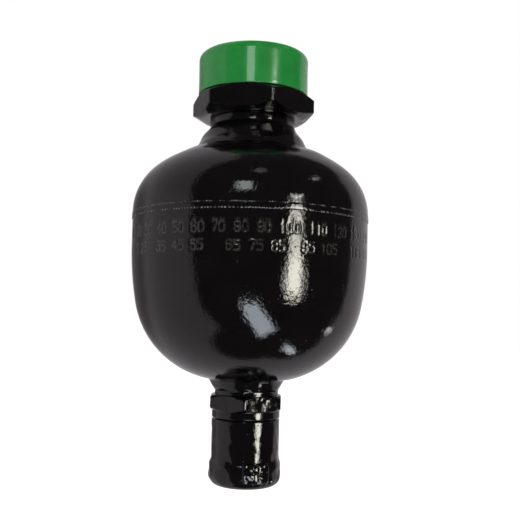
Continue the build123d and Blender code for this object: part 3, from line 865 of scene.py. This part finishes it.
    def seam(self) -> Piece:
        """Weld seam: a low crown with a row of ripples along each toe.

        The crown is 1 - t squared over the band. A ripple is a bell across its toe times a
        narrowed cosine round the axis, and its strength wanders.
        """
        rows = self.seam_rows
        t = np.linspace(-1, 1, rows)
        middle = (self.weld_low + self.weld_high) / 2
        levels = middle + (self.weld_high - self.weld_low) / 2 * t
        inside = self.radius - self.wall
        corners = [Corner(self.radius, level, step=6.0) for level in levels]
        corners += [Corner(inside, self.weld_high, step=6.0), Corner(inside, self.weld_low, step=6.0)]
        angles = even_turn(1520)
        ripple = np.zeros((rows, len(angles)))
        for toe, count, seed in self.toes:
            wander = uneven(angles, levels, self.radius, 7.0, seed, 12)
            pulse = (np.cos(count * angles + 1.2 * wander) * 0.5 + 0.5) ** 2
            strength = np.clip(0.60 + 0.35 * uneven(angles, levels, self.radius, 4.0, seed + 1, 16), 0.1, 1)
            bell = np.exp(-(((t - toe) / self.toe_width) ** 2))[:, None]
            ripple = np.maximum(ripple, bell * pulse * strength)
        crown = self.weld_crown * (1 - t**2)[:, None]
        bead = 0.85 * crown - 0.12 * (np.abs(t) ** 8)[:, None] + self.ripple_height * ripple
        seam = Turning(corners, angles)
        seam.radius[:rows] += np.minimum(bead, self.weld_crown - 0.01)
        # The ripple crests are lightened as painted highlight dots.
        painted_sheen = np.vstack((np.minimum(2.4 * ripple**1.5, 1), np.zeros((2, len(angles)))))
        paint = self.finishes.paint
        return seam.piece("weld_bead", Body.VESSEL, Slot.BLACK_PAINT, ("weld_seam",), paint, painted_sheen=painted_sheen)

    def build(self) -> None:
        """Build and dress the three pieces."""
        self.upper_cup()
        self.seam()
        self.lower_cup()


# ---- fluid port
@dataclass
class FluidPort:
    """Hexagon, threaded stub and bore of the fluid port."""

    finishes: Finishes
    flats: float = 50.0
    hex_height: float = 11.1
    hex_inset: float = 1.6
    turn: float = -72.0
    stub_radius: float = 22.5
    stub_height: float = 16.7
    relief_radius: float = 20.8
    relief_height: float = 2.5
    shank_radius: float = 15.0
    bore: float = 12.06
    bore_depth: float = 16.0
    chamber: float = 10.5
    throat: float = 9.3
    throat_length: float = 12.0
    seat: float = 2.0
    stub_pitch: float = 1.5
    bore_pitch: float = 1.814

    def build(self) -> Piece:
        """Build the one-piece port: painted hexagon, bare threads."""
        end, top = ends("port_body")
        top_of_hex = top - self.stub_height
        face = top_of_hex - self.hex_height
        relief = top_of_hex + self.relief_height
        guide = end + self.throat_length
        flat = self.flats / 2
        corners = [
            Corner(self.throat, end + self.seat),
            Corner(self.throat + self.seat, end),
            Corner(self.shank_radius - 1, end),
            Corner(self.shank_radius, end + 1, step=6.0),
            Corner(self.shank_radius, face, step=2.5),
            Corner(flat - self.hex_inset, face, step=0.28),
            Corner(flat + 1e-3, face + 4.2, step=2.0),
            Corner(flat + 1e-3, top_of_hex - 4.2, step=0.28),
            Corner(flat, top_of_hex, step=2.0),
            Corner(self.relief_radius, top_of_hex),
            Corner(self.relief_radius, relief),
            Corner(self.stub_radius, relief + self.stub_radius - self.relief_radius, step=0.2),
            Corner(self.stub_radius, top - 1, step=0.35),
            Corner(self.stub_radius - 1, top),
            Corner(self.bore + 1, top, step=0.35),
            Corner(self.bore, top - 1, step=0.23),
            Corner(self.bore, top - self.bore_depth),
            Corner(self.chamber, top - self.bore_depth - self.bore + self.chamber, step=6.0),
            Corner(self.chamber, guide + 7.05),
            Corner(self.chamber + 0.7, guide + 7.05),
            Corner(self.chamber + 0.7, guide + 6.0),
            Corner(self.chamber, guide + 6.0),
            Corner(self.chamber, guide),
            Corner(self.throat, guide, step=6.0),
        ]
        port = Turning(corners, even_turn(420, self.turn))
        on_hex = (port.r > flat - self.hex_inset - 0.01) & (port.z < top_of_hex + 0.01)
        lower_cone = flat - self.hex_inset + (port.z - face) / CONE
        cone = np.minimum(lower_cone, flat - 0.6 + (top_of_hex - port.z) / CONE)
        lumps = 0.10 * port.band(face - 2, face + 3.5, 3.0) * port.uneven(flat, 7.0, 42)
        skin = 0.03 * port.uneven(flat, 16.0, 41) - 0.04 + lumps
        six, limit = (hexagon_radius(port.angles, self.flats, self.turn, power) for power in (60.0, 400.0))
        port.hexagon(on_hex, six + 0.22, cone, 0.12, skin, limit)
        port.thread(self.stub_radius, (top_of_hex + 4.4, top - 0.6), self.stub_pitch, 0.85, 1.2, 0.5)
        port.thread(self.bore, (top - self.bore_depth + 1.5, top + 2), self.bore_pitch, -1.0, 1.5, 0.5)
        bare = (port.z + port.next_z) / 2 > top_of_hex + 0.01
        bare |= np.maximum(port.r, port.next_r) < self.shank_radius + 0.01
        looks = self.finishes.paint, self.finishes.steel
        return port.piece("port_fitting", Body.VESSEL, Slot.BLACK_PAINT, ("port_body",), *looks, bare=bare)


# ---- green protector
@dataclass
class ThreadProtector:
    """Green cap pushed over the port's thread."""

    finishes: Finishes
    radius: float = 25.3
    top_wall: float = 2.2
    edge_radius: float = 3.5
    bore: float = 22.65
    push: float = 0.7

    def build(self) -> Piece:
        """Build the cap: a turned cup, a little uneven from the mould."""
        base, top = ends("thread_cap")
        base -= self.push
        corners = [
            Corner(0, top - self.top_wall, step=3.0),
            Corner(self.bore, top - self.top_wall, 0.8, 2.5),
            Corner(self.bore, base, 0.2),
            Corner(self.radius, base, 0.35, 1.2),
            Corner(self.radius, top - 0.25, self.edge_radius, 2.0),
            Corner(0, top),
        ]
        cap = Turning(corners, even_turn(360), closed=False)
        wall = ((cap.r > self.bore + 0.3) & (cap.z < top - 1))[:, None]
        sag = cap.band(base + 1.5, top - 4, 5.0) * wall
        cap.radius -= sag * (0.07 + 0.025 * cap.uneven(self.radius, 34.0, 51))
        green = self.finishes.green
        return cap.piece("green_protector", Body.PORT_PROTECTOR, Slot.GREEN_PLASTIC, ("thread_cap",), green)


# ---- gas end
@dataclass
class GasEnd:
    """Lock nut, gas stem and guard cap below the vessel."""

    finishes: Finishes
    nut_flats: float = 32.0
    nut_top: float = -72.23
    nut_height: float = 6.8
    nut_turn: float = -92.0
    collar_radius: float = 15.6
    collar_height: float = 3.6
    stem_radius: float = 11.0
    stem_top: float = -56.11
    foot_radius: float = 16.0
    foot_seat: float = -60.11
    stem_end: float = -92.11
    tip_radius: float = 6.0
    tip_end: float = -103.11
    gas_bore: float = 2.0
    core_bore: float = 3.3
    core_ledge: float = -86.11
    guard_mouth: float = -83.23
    guard_length: float = 30.3
    sleeve_length: float = 17.3
    sleeve_radius: float = 15.6
    rim_radius: float = 16.55
    flare_height: float = 4.2
    guard_edge: float = 4.6
    pad_angles: tuple[float, ...] = (-83.0, -59.0)
    pad_level: float = -105.98
    pad_size: tuple[float, float] = (5.2, 8.5)
    pad_corner: float = 1.2
    pad_stand: float = 0.45
    thread_length: float = 10.0
    cup_radius: float = 12.0
    end_wall: float = 4.0
    stem_pitch: float = 1.5
    tip_pitch: float = 0.8

    def lock_nut(self) -> Piece:
        """Hexagon nut with a round collar and a ring groove under it."""
        top, bottom = self.nut_top, self.nut_top - self.nut_height
        collar = bottom - self.collar_height
        flat = self.nut_flats / 2
        bore = self.stem_radius + 0.05
        middle = (self.stem_radius + self.collar_radius) / 2
        inner, outer, groove = middle - 0.85, middle + 0.85, collar + 0.82
        corners = [
            Corner(bore, top),
            Corner(bore, collar),
            Corner(inner, collar),
            Corner(inner, groove),
            Corner(outer, groove),
            Corner(outer, collar),
            Corner(self.collar_radius, collar, 0.45, 0.6),
            Corner(self.collar_radius, bottom, 0.3, 0.4),
            Corner(flat, bottom, 0.0, 0.22),
            Corner(flat + 1e-3, bottom + 3.0, step=1.0),
            Corner(flat + 1e-3, top - 3.0, step=0.22),
            Corner(flat, top),
        ]
        nut = Turning(corners, even_turn(420, self.nut_turn))
        on_hex = (np.abs(nut.r - flat) < 0.01) & (nut.z > bottom - 0.01)
        cone = flat + np.minimum(nut.z - bottom, top - nut.z) / CONE
        six = hexagon_radius(nut.angles, self.nut_flats, self.nut_turn)
        lumps = 0.10 * nut.band(top - 2.0, top + 2, 2.0) * nut.uneven(flat, 3.5, 62)
        nut.hexagon(on_hex, six, cone, 0.10, 0.04 * nut.uneven(flat, 8.0, 61) - 0.03 + lumps, six)
        paint = self.finishes.paint
        return nut.piece("gas_lock_nut", Body.VESSEL, Slot.BLACK_PAINT, ("stem_lock_nut",), paint)

    def guard(self) -> Piece:
        """Guard cap: long sleeve with a flared rim that carries two raised pads."""
        mouth, end = self.guard_mouth, self.guard_mouth - self.guard_length
        flare_top = mouth - self.sleeve_length
        flare_bottom = flare_top - self.flare_height
        half_step = (self.rim_radius - self.sleeve_radius) / 2
        half_height = self.flare_height / 2
        swing = (half_height**2 + half_step**2) / (2 * half_step)
        sweep = float(np.degrees(np.arcsin(half_height / swing)))
        corners = [Corner(0, end, step=2.5), Corner(self.rim_radius, end, self.guard_edge, 0.35)]
        corners += arc((self.rim_radius - swing, flare_bottom), swing, 0, sweep, 0.35)
        corners += arc((self.sleeve_radius + swing, flare_top), swing, 180 + sweep, 180, 0.35)[1:-1]
        corners += [
            Corner(self.sleeve_radius, flare_top, step=0.7),
            Corner(self.sleeve_radius, mouth, 0.5),
            Corner(self.stem_radius + 0.15, mouth, 0.3, 0.22),
            Corner(self.stem_radius + 0.15, mouth - self.thread_length),
            Corner(self.cup_radius, mouth - self.thread_length, step=4.0),
            Corner(self.cup_radius, end + self.end_wall, step=4.0),
            Corner(0, end + self.end_wall),
        ]
        cap = Turning(corners, even_turn(480), closed=False)
        outer = (cap.r > self.sleeve_radius - 0.2) & (cap.z > end + 0.8)
        lift = np.zeros(cap.radius.shape)
        width, height = self.pad_size
        for turn in self.pad_angles:
            aside = self.rim_radius * ((cap.angles - radians(turn) + pi) % (2 * pi) - pi)
            x = np.maximum(np.abs(aside) - width / 2 + self.pad_corner, 0)[None, :]
            z = np.maximum(np.abs(cap.z - self.pad_level) - height / 2 + self.pad_corner, 0)[:, None]
            share = np.clip((self.pad_corner - np.hypot(x, z)) / 0.7 + 0.5, 0, 1)
            flat_face = (self.rim_radius + self.pad_stand) / np.cos(np.clip(aside / self.rim_radius, -1, 1))
            rise = np.minimum(flat_face[None, :], self.rim_radius + self.pad_stand + 0.1) - cap.radius
            lift += share * share * (3 - 2 * share) * rise
        grain = np.minimum(0.10 * lift * cap.uneven(self.sleeve_radius, 2.4, 72, 30), 0.1 * lift)
        skin = 0.05 * cap.uneven(self.sleeve_radius, 5.0, 71) * (0.75 + cap.band(end + 1, flare_top, 4.0))
        cap.radius += outer[:, None] * (0.85 * lift + grain + skin - 0.06)
        cap.thread(self.stem_radius, (mouth - 9.6, mouth + 1), self.stem_pitch, -0.8, 1.0, 0.3)
        bare = (np.maximum(cap.r, cap.next_r) < self.sleeve_radius - 2) & (cap.z > end + 3.9)
        looks = self.finishes.paint, self.finishes.steel
        return cap.piece("gas_guard", Body.VALVE_GUARD, Slot.BLACK_PAINT, ("guard_cap",), *looks, bare=bare)

    def stem(self) -> Piece:
        """Gas stem: foot inside the vessel, long thread, and the small threaded tip of the valve."""
        corners = [
            Corner(self.gas_bore, self.core_ledge, step=8.0),
            Corner(self.core_bore, self.core_ledge, step=8.0),
            Corner(self.core_bore, self.tip_end),
            Corner(self.tip_radius - 0.5, self.tip_end),
            Corner(self.tip_radius, self.tip_end + 0.5, step=0.1),
            Corner(self.tip_radius, self.stem_end, 0.4),
            Corner(self.stem_radius - 1.0, self.stem_end),
            Corner(self.stem_radius, self.stem_end + 1.0, step=0.2),
            Corner(self.stem_radius, self.nut_top - 1.0, step=4.0),
            Corner(self.stem_radius, self.foot_seat),
            Corner(self.foot_radius, self.foot_seat, 0.3),
            Corner(self.foot_radius, self.stem_top, 0.8),
            Corner(self.gas_bore, self.stem_top, step=12.0),
        ]
        stem = Turning(corners, even_turn(240))
        stem.thread(self.stem_radius, (self.stem_end + 0.6, self.nut_top - 1.5), self.stem_pitch, 0.85, 1.0, 0.2)
        stem.thread(self.tip_radius, (self.tip_end + 0.4, self.stem_end - 1.5), self.tip_pitch, 0.42, 0.8, 0.2)
        return stem.piece("gas_stem", Body.VESSEL, Slot.TURNED_STEEL, ("valve_stem",), self.finishes.steel)

    def build(self) -> None:
        """Build and dress the three pieces."""
        self.lock_nut()
        self.guard()
        self.stem()


# ---- pieces kept from the solids
@dataclass
class SmallParts:
    """Rings, springs, poppet and valve core: the solids' own meshes in their finishes."""

    finishes: Finishes

    def dress(self) -> None:
        """Give each kept solid its finish."""
        rubber, steel = self.finishes.rubber, self.finishes.steel
        spring, brass = self.finishes.spring, self.finishes.brass
        chosen = {
            rubber: (
                "port_o_ring", "stem_o_ring", "guard_cap_o_ring", "valve_core_o_ring", "valve_core_seal",
                "seal_cap_gasket", "bladder",
            ),
            steel: ("poppet_guide", "poppet", "poppet_stop_nut"),
            spring: ("guide_retaining_ring", "poppet_spring", "valve_core_spring"),
            brass: ("valve_core_body", "valve_core_pin", "valve_seal_cap"),
        }
        for material, names in chosen.items():
            for name in names:
                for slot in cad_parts[name].material_slots:
                    slot.material = material
                LOG.info("%s: dressed in %s", name, material.name)
        self.press("poppet_spring")
        self.press("valve_core_spring")

    def press(self, name: str) -> None:
        """Give a coil its own copy of its mesh."""
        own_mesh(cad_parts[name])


# ---- studio
def towards(azimuth: float, elevation: float) -> Vector:
    """Unit vector from angles in degrees: azimuth from the front towards +X, elevation from level."""
    a, e = radians(azimuth), radians(elevation)
    return Vector((sin(a) * cos(e), -cos(a) * cos(e), sin(e)))


@dataclass(frozen=True)
class Lamp:
    """A soft lamp that faces the target from a direction."""

    name: str
    direction: Vector
    width: float
    height: float
    radiance: float
    colour: Colour = (1.0, 1.0, 1.0)
    round_shape: bool = False
    distance: float = 1.5
    mirror_only: bool = True

    def place(self, target: Vector) -> None:
        """Hang the lamp at its distance from the target, facing it."""
        light = bpy.data.lights.new(self.name, "AREA")
        light.shape = "ELLIPSE" if self.round_shape else "RECTANGLE"
        light.size, light.size_y = self.width, self.height
        area = self.width * self.height * (pi / 4 if self.round_shape else 1)
        light.energy = self.radiance * pi * area
        light.color = self.colour
        lamp = bpy.data.objects.new(self.name, light)
        bpy.context.scene.collection.objects.link(lamp)
        away = self.direction
        turn = away.to_track_quat("Z", "Y").to_matrix().to_4x4()
        lamp.matrix_world = Matrix.Translation(target + away * self.distance) @ turn
        lamp.visible_camera = False
        lamp.visible_diffuse = not self.mirror_only
        lamp.visible_glossy = self.mirror_only


@dataclass(frozen=True)
class Pane:
    """A bright four-sided patch seen only in the gloss: azimuth and elevation of its corners, clockwise."""

    corners: tuple[tuple[float, float], ...]
    radiance: float
    colour: Colour
    blur: float = 0.012


@dataclass(frozen=True)
class Cut:
    """A dark round part of the white sheet, by the azimuth and elevation of its middle."""

    middle: tuple[float, float]
    radius: float
    edge: float
    depth: float = 1.0


@dataclass
class Studio:
    """Pale floor, white surround, soft lamps and the camera."""

    target: Vector = field(default_factory=lambda: Vector((0.0, 0.0, -0.027)))
    camera_place: Vector = field(default_factory=lambda: Vector((0.0, -0.3699, -0.0362)))
    camera_roll: float = 0.0232
    lens: float = 55.38
    shift: tuple[float, float] = (0.0223, 0.0692)
    floor_level: float = -0.30
    floor_reach: float = 6.0
    floor_lift: float = 0.45
    lamps: tuple[Lamp, ...] = (
        Lamp("window_glow", towards(43.0, -8.0), 0.60, 0.44, 5.2, (1.0, 0.985, 0.86), round_shape=True),
        Lamp("top_light", towards(42.0, 15.5), 0.20, 0.24, 8.0, (1.0, 0.97, 0.88)),
        Lamp("high_window", towards(-5.7, 35.6), 0.062, 0.068, 4.6, (0.94, 1.0, 1.0), distance=0.2955),
        Lamp("cap_spot", towards(45.0, 19.2), 0.20, 0.022, 50.0),
        Lamp("high_pane", towards(15.0, 65.0), 0.18, 0.18, 1.3),
        Lamp("side_glint", towards(104.0, -30.5), 0.07, 0.11, 18.0, (1.0, 1.0, 0.95)),
        Lamp("upper_glint", towards(82.0, 45.5), 0.20, 0.07, 5.0),
        Lamp("warm_key", towards(38.7, 25.0), 0.9, 0.9, 2.2, (1.0, 0.95, 0.76), mirror_only=False),
        Lamp("cool_fill", towards(-46.7, 17.3), 0.9, 0.9, 1.2, (0.86, 0.95, 1.0), mirror_only=False),
    )
    panes: tuple[Pane, ...] = (
        Pane(((38.5, 8.5), (49.0, 8.5), (50.5, -14.5), (36.5, -14.5)), 13.5, (1.0, 0.985, 0.86)),
        Pane(((-8.0, -20.0), (9.5, -20.0), (37.0, -47.5), (20.0, -60.8)), 7.3, (0.82, 0.90, 1.0)),
        Pane(((70.0, -59.5), (108.0, -57.0), (110.0, -61.0), (82.0, -65.0)), 7.6, (0.86, 0.90, 1.0)),
    )
    fill: float = 0.80
    dark_room: float = 0.05
    room_colour: Colour = (1.0, 0.95, 0.99)
    cuts: tuple[Cut, ...] = (
        Cut((100.0, 65.0), 32.0, 6.0),
        Cut((-5.0, -70.0), 26.0, 8.0),
        Cut((70.0, -50.0), 30.0, 6.0),
        Cut((-142.0, 0.0), 20.0, 20.0, 0.72),
    )

    def side_of(self, nodes: Nodes, axis: Vector, start: float, end: float) -> Socket:
        """Mask from nought to one where a direction's dot product with an axis goes from start to end."""
        ray = nodes.add("ShaderNodeTexCoord").outputs["Generated"]
        dot = nodes.add("ShaderNodeVectorMath", {0: ray, 1: axis}, operation="DOT_PRODUCT").outputs["Value"]
        given = {"Value": dot, "From Min": start, "From Max": end}
        return nodes.add("ShaderNodeMapRange", given, interpolation_type="SMOOTHSTEP").outputs["Result"]

    def world(self) -> None:
        """White to the camera, an even fill on the surfaces, and a room with one white side in the gloss."""
        world = bpy.data.worlds.new("studio")
        bpy.context.scene.world = world
        world.use_nodes = True
        nodes = Nodes(world.node_tree)
        path = nodes.add("ShaderNodeLightPath")
        sheet = self.side_of(nodes, towards(-151.5, -14.0), -0.15, -0.08)
        for cut in self.cuts:
            rim, core = (cos(radians(cut.radius + side * cut.edge / 2)) for side in (1, -1))
            hole = nodes.math("MULTIPLY", self.side_of(nodes, towards(*cut.middle), rim, core), cut.depth)
            sheet = nodes.math("MULTIPLY", sheet, nodes.math("SUBTRACT", 1.0, hole))
        shade = nodes.math("MULTIPLY_ADD", self.side_of(nodes, Vector((0, 0, 1)), 0.10, 0.60), -0.12, 0.50)
        room = nodes.background(nodes.math("MULTIPLY_ADD", sheet, shade, self.dark_room), self.room_colour)
        for pane in self.panes:
            rays = [towards(*corner) for corner in pane.corners]
            inside: object = pane.radiance
            for ray, following in zip(rays, rays[1:] + rays[:1]):
                edge = self.side_of(nodes, following.cross(ray).normalized(), -pane.blur, pane.blur)
                inside = nodes.math("MULTIPLY", edge, inside)
            window = nodes.background(inside, pane.colour)
            room = nodes.add("ShaderNodeAddShader", {0: room, 1: window}).outputs[0]
        surfaces = nodes.mix_shader(path.outputs["Is Glossy Ray"], nodes.background(self.fill), room)
        everything = nodes.mix_shader(path.outputs["Is Camera Ray"], surfaces, nodes.background(1.0))
        nodes.add("ShaderNodeOutputWorld", {"Surface": everything})

    def floor(self) -> None:
        """Plain pale floor, white to the camera apart from the object's shadow."""
        reach = self.floor_reach
        mesh = bpy.data.meshes.new("floor")
        square = ((-reach, -reach), (reach, -reach), (reach, reach), (-reach, reach))
        mesh.from_pydata([(x, y, self.floor_level) for x, y in square], [], [(0, 1, 2, 3)])
        floor = bpy.data.objects.new("floor", mesh)
        bpy.context.scene.collection.objects.link(floor)
        material = bpy.data.materials.new("pale_floor")
        material.use_nodes = True
        nodes = Nodes(material.node_tree)
        to_camera = nodes.add("ShaderNodeLightPath").outputs["Is Camera Ray"]
        surface = nodes.add("ShaderNodeBsdfPrincipled", {
            "Base Color": (0.86, 0.86, 0.86, 1.0), "Roughness": 0.9, "Specular IOR Level": 0.1,
            "Emission Color": (1.0, 1.0, 1.0, 1.0),
            "Emission Strength": nodes.math("MULTIPLY", to_camera, self.floor_lift),
        })
        nodes.add("ShaderNodeOutputMaterial", {"Surface": surface.outputs[0]})
        mesh.materials.append(material)
        floor.visible_glossy = False

    def camera(self) -> None:
        """Camera level with the lower cup, looking up a little, rolled so that the axis leans."""
        data = bpy.data.cameras.new("camera")
        data.sensor_width = 36.0
        data.lens = self.lens
        data.shift_x, data.shift_y = self.shift
        data.clip_start = 0.01
        camera = bpy.data.objects.new("camera", data)
        bpy.context.scene.collection.objects.link(camera)
        ahead = (self.target - self.camera_place).normalized()
        level = ahead.cross(Vector((0, 0, 1))).normalized()
        rise = level.cross(ahead)
        right = level * cos(self.camera_roll) + rise * sin(self.camera_roll)
        up = right.cross(ahead)
        turn = Matrix((right, up, -ahead)).transposed().to_4x4()
        camera.matrix_world = Matrix.Translation(self.camera_place) @ turn
        bpy.context.scene.camera = camera

    def build(self) -> None:
        """Set up the world, floor, lamps and camera."""
        bpy.context.scene.view_settings.view_transform = "Standard"
        self.world()
        self.floor()
        for lamp in self.lamps:
            lamp.place(self.target)
        self.camera()
        LOG.info("studio: %d lamps", len(self.lamps))


def main() -> None:
    """Build every piece in order."""
    logging.basicConfig(level=logging.INFO, format="%(name)s %(message)s")
    finishes = make_finishes(Effects())
    Vessel(finishes).build()
    FluidPort(finishes).build()
    ThreadProtector(finishes).build()
    GasEnd(finishes).build()
    SmallParts(finishes).dress()
    Studio().build()


if __name__ == "__main__":
    main()
